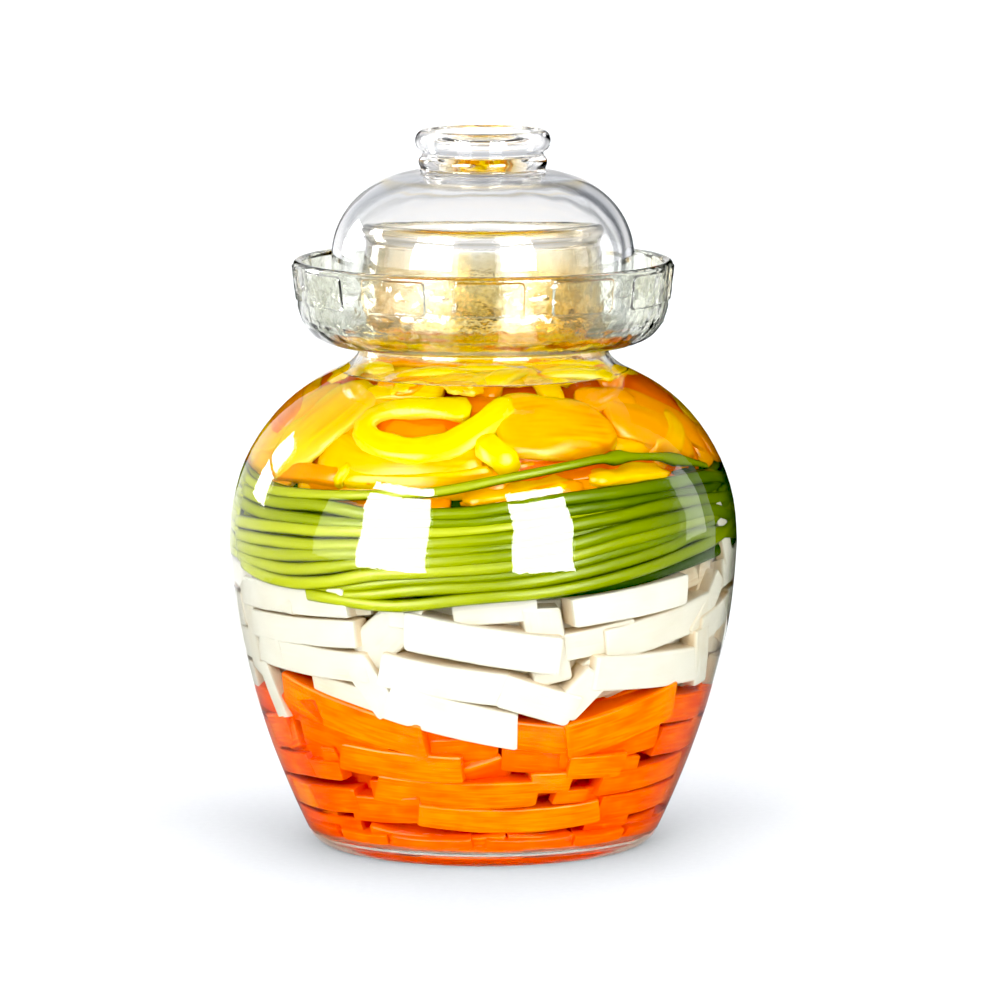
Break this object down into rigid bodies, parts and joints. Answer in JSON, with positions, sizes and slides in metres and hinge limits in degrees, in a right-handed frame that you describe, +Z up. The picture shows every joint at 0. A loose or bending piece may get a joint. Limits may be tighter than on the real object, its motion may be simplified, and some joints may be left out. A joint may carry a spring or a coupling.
{
  "type": "fermentation jar",
  "caption": "Clear glass pickling jar with a round belly, a water-seal moat round its mouth and a domed lid with a ring knob, filled with layers of cut vegetables in brine.",
  "frame": {"origin": "centre of the foot, on the surface that the jar stands on", "axes": "+Z up along the jar's axis, -Y towards the side the picture shows, +X to its right"},
  "size_m": [0.2104, 0.2104, 0.295],
  "materials": {
    "glass": "clear pressed glass, very faintly green at its thick edges",
    "carrot": "wet cut carrot",
    "radish": "wet cut white radish, slightly see-through",
    "scape": "wet green garlic scape skin",
    "pepper": "wet yellow and orange pepper skin",
    "brine": "clear pale brine"
  },
  "bodies": {
    "root": {"jar": "glass", "lid": "glass", "carrot_sticks": "carrot", "radish_sticks": "radish", "garlic_scapes": "scape", "pepper_strips": "pepper"}
  },
  "joints": []
}
